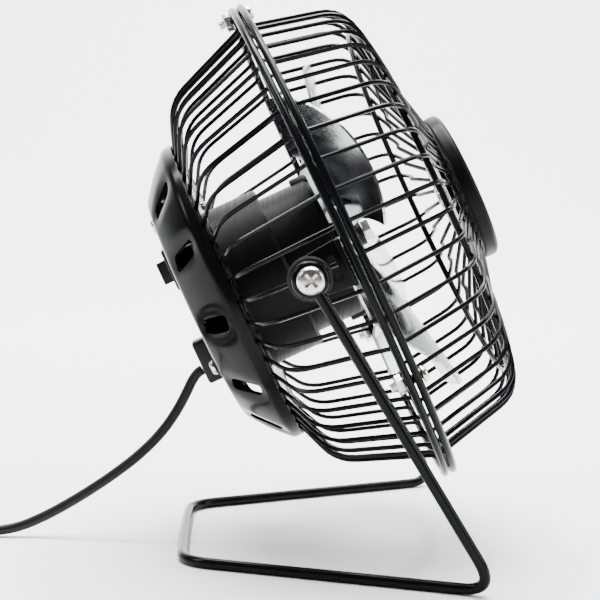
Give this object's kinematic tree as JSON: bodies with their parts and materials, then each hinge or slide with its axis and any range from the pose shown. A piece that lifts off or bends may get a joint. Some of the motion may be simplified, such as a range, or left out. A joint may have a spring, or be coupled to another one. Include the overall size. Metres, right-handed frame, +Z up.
{
  "type": "desk fan",
  "caption": "Small all-metal desk fan: round wire guard, pressed metal blades and a motor behind, on a bent-rod stand whose two screws let the head tilt.",
  "frame": {"origin": "on the surface it stands on, under the middle of the fan without its cord", "axes": "+Z up, the fan blows towards -Y and up, +X across the stand from screw to screw"},
  "size_m": [0.1624, 0.1899, 0.1458],
  "materials": {
    "black_paint": "gloss",
    "satin_black": "satin",
    "black_plastic": "matte",
    "black_rubber": "matte",
    "cord_jacket": "matte",
    "lead_jacket": "matte",
    "polished_aluminium": "polished",
    "nickel_plate": "polished",
    "bare_steel": "satin",
    "sintered_bronze": "satin",
    "copper": "satin",
    "ferrite": "matte"
  },
  "bodies": {
    "stand": {"stand_rod": "black_paint", "cord_run": "cord_jacket", "cord_coil": "cord_jacket", "cord_tail": "cord_jacket", "usb_plug_grip": "black_plastic", "usb_plug_shell": "nickel_plate"},
    "head": {"front_guard_sector_1": "black_paint", "front_guard_sector_2": "black_paint", "front_guard_sector_3": "black_paint", "front_guard_sector_4": "black_paint", "front_guard_sector_5": "black_paint", "front_guard_sector_6": "black_paint", "rear_guard_sector_1": "black_paint", "rear_guard_sector_2": "black_paint", "rear_guard_sector_3": "black_paint", "rear_guard_sector_4": "black_paint", "rear_guard_sector_5": "black_paint", "rear_guard_sector_6": "black_paint", "front_support_ring": "black_paint", "badge_clamp_disc": "black_paint", "motor_mounting_plate": "black_paint", "rear_cover": "black_paint", "pivot_bracket_left": "black_paint", "pivot_bracket_right": "black_paint", "front_badge": "satin_black", "motor_shroud_rear": "satin_black", "motor_shroud_front": "satin_black", "motor_end_cap": "black_plastic", "switch_body": "black_plastic", "cable_clamp": "black_plastic", "pivot_washer_left": "black_rubber", "pivot_washer_right": "black_rubber", "lead_to_switch": "cord_jacket", "lead_to_motor": "lead_jacket", "guard_screw_1": "nickel_plate", "guard_screw_2": "nickel_plate", "guard_screw_3": "nickel_plate", "badge_screw": "nickel_plate", "cover_screw": "nickel_plate", "clamp_screw_left": "nickel_plate", "clamp_screw_right": "nickel_plate", "pivot_screw_left": "nickel_plate", "pivot_screw_right": "nickel_plate", "pivot_nut_left": "nickel_plate", "pivot_nut_right": "nickel_plate", "motor_can": "bare_steel", "front_bush": "sintered_bronze", "rear_bush": "sintered_bronze", "brush_left": "copper", "brush_right": "copper", "magnet_upper": "ferrite", "magnet_lower": "ferrite"},
    "rotor": {"rotor_shaft": "bare_steel", "armature_core": "bare_steel", "armature_winding": "copper", "commutator": "copper", "blade_hub": "black_plastic", "fan_blades": "polished_aluminium", "hub_nut": "nickel_plate"},
    "rocker": {"switch_rocker": "black_plastic"}
  },
  "joints": [
    {"name": "head_tilt", "type": "hinge", "parent": "stand", "child": "head", "pos_m": [0, 0.0083, 0.07659], "axis": [1, 0, 0], "range_deg": [-65, 55], "deforming": ["cord_run"]},
    {"name": "rotor_spin", "type": "hinge", "parent": "head", "child": "rotor", "pos_m": [0, 0.0083, 0.07659], "axis": [0, -0.9078, 0.4195], "continuous": true},
    {"name": "switch_rock", "type": "hinge", "parent": "head", "child": "rocker", "pos_m": [0, 0.04358, 0.07439], "axis": [0, 0.4195, 0.9078], "range_deg": [0, 16]}
  ]
}
